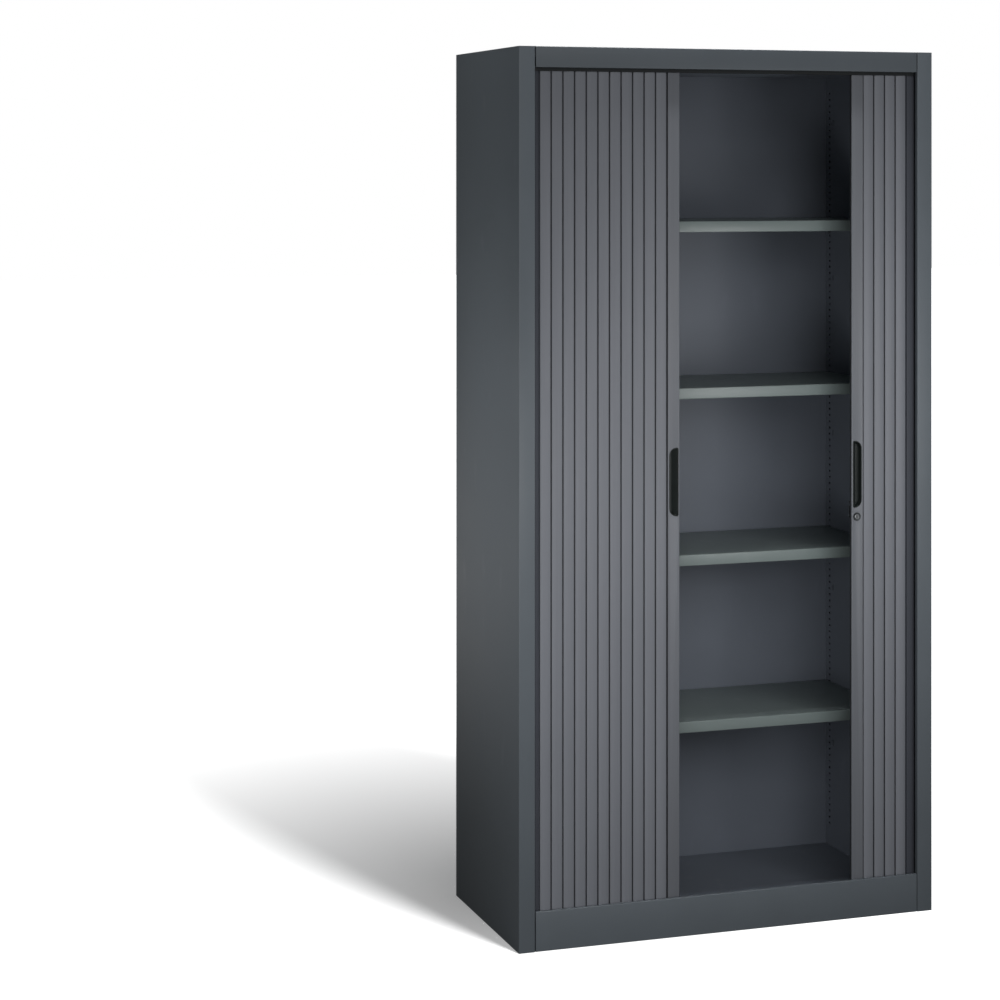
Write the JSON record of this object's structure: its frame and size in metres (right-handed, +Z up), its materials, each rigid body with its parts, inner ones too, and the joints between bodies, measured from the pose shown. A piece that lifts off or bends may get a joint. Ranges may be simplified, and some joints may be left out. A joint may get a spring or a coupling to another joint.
{
  "type": "roll front cabinet",
  "caption": "Tall steel roll front cabinet: slatted shutters slide sideways into side pockets in front of adjustable shelves.",
  "frame": {"origin": "middle of the footprint on the floor", "axes": "+X to the right seen from the front, +Y to the back, +Z up"},
  "size_m": [1, 0.42, 1.95],
  "materials": {
    "case_paint": "anthracite powder coat, fine texture, satin",
    "shelf_paint": "grey powder coat, satin",
    "slat_plastic": "anthracite grey plastic, satin",
    "stile_plastic": "anthracite grey plastic, satin",
    "grip_plastic": "black moulded plastic, fine texture",
    "track_plastic": "dark grey plastic, smooth",
    "lock_nickel": "nickel plated",
    "zinc_steel": "zinc plated"
  },
  "bodies": {
    "root": {"back_panel": "case_paint", "bottom_front_track": "track_plastic", "bottom_panel": "case_paint", "ceiling_panel": "case_paint", "foot_nuts": "zinc_steel", "left_base_rail": "case_paint", "left_bottom_pocket_track": "track_plastic", "left_front_upright": "case_paint", "left_inner_wall": "case_paint", "left_rear_upright": "case_paint", "left_side_panel": "case_paint", "left_stored_slats": "slat_plastic", "left_top_pocket_track": "track_plastic", "levelling_feet": "zinc_steel", "plinth": "case_paint", "rear_base_rail": "case_paint", "right_base_rail": "case_paint", "right_bottom_pocket_track": "track_plastic", "right_front_upright": "case_paint", "right_inner_wall": "case_paint", "right_rear_upright": "case_paint", "right_side_panel": "case_paint", "right_stored_slats": "slat_plastic", "right_top_pocket_track": "track_plastic", "shelf_1": "shelf_paint", "shelf_2": "shelf_paint", "shelf_3": "shelf_paint", "shelf_4": "shelf_paint", "shelf_clips": "zinc_steel", "stored_gliders": "track_plastic", "top_front_track": "track_plastic", "top_panel": "case_paint", "top_rail": "case_paint"},
    "left_shutter": {"left_lead_stile": "stile_plastic", "left_handle": "grip_plastic", "left_gliders": "track_plastic", "left_slat_01": "slat_plastic", "left_slat_02": "slat_plastic", "left_slat_03": "slat_plastic", "left_slat_04": "slat_plastic", "left_slat_05": "slat_plastic", "left_slat_06": "slat_plastic", "left_slat_07": "slat_plastic", "left_slat_08": "slat_plastic", "left_slat_09": "slat_plastic", "left_slat_10": "slat_plastic", "left_slat_11": "slat_plastic", "lock_keeper": "zinc_steel"},
    "right_shutter": {"right_lead_stile": "stile_plastic", "right_handle": "grip_plastic", "right_gliders": "track_plastic", "right_slat_01": "slat_plastic", "right_slat_02": "slat_plastic", "right_slat_03": "slat_plastic", "right_slat_04": "slat_plastic", "lock_housing": "lock_nickel"},
    "lock": {"lock_plug": "lock_nickel", "lock_cam": "zinc_steel", "cam_screw": "zinc_steel"}
  },
  "joints": [
    {"name": "left_shutter_slide", "type": "slide", "parent": "root", "child": "left_shutter", "axis": [1, 0, 0], "range_m": [0, 0.1185]},
    {"name": "right_shutter_slide", "type": "slide", "parent": "root", "child": "right_shutter", "axis": [-1, 0, 0], "range_m": [0, 0.3025]},
    {"name": "lock_turn", "type": "hinge", "parent": "right_shutter", "child": "lock", "pos_m": [0.3161, -0.198, 0.901], "axis": [0, -1, 0], "range_deg": [0, 90]}
  ]
}
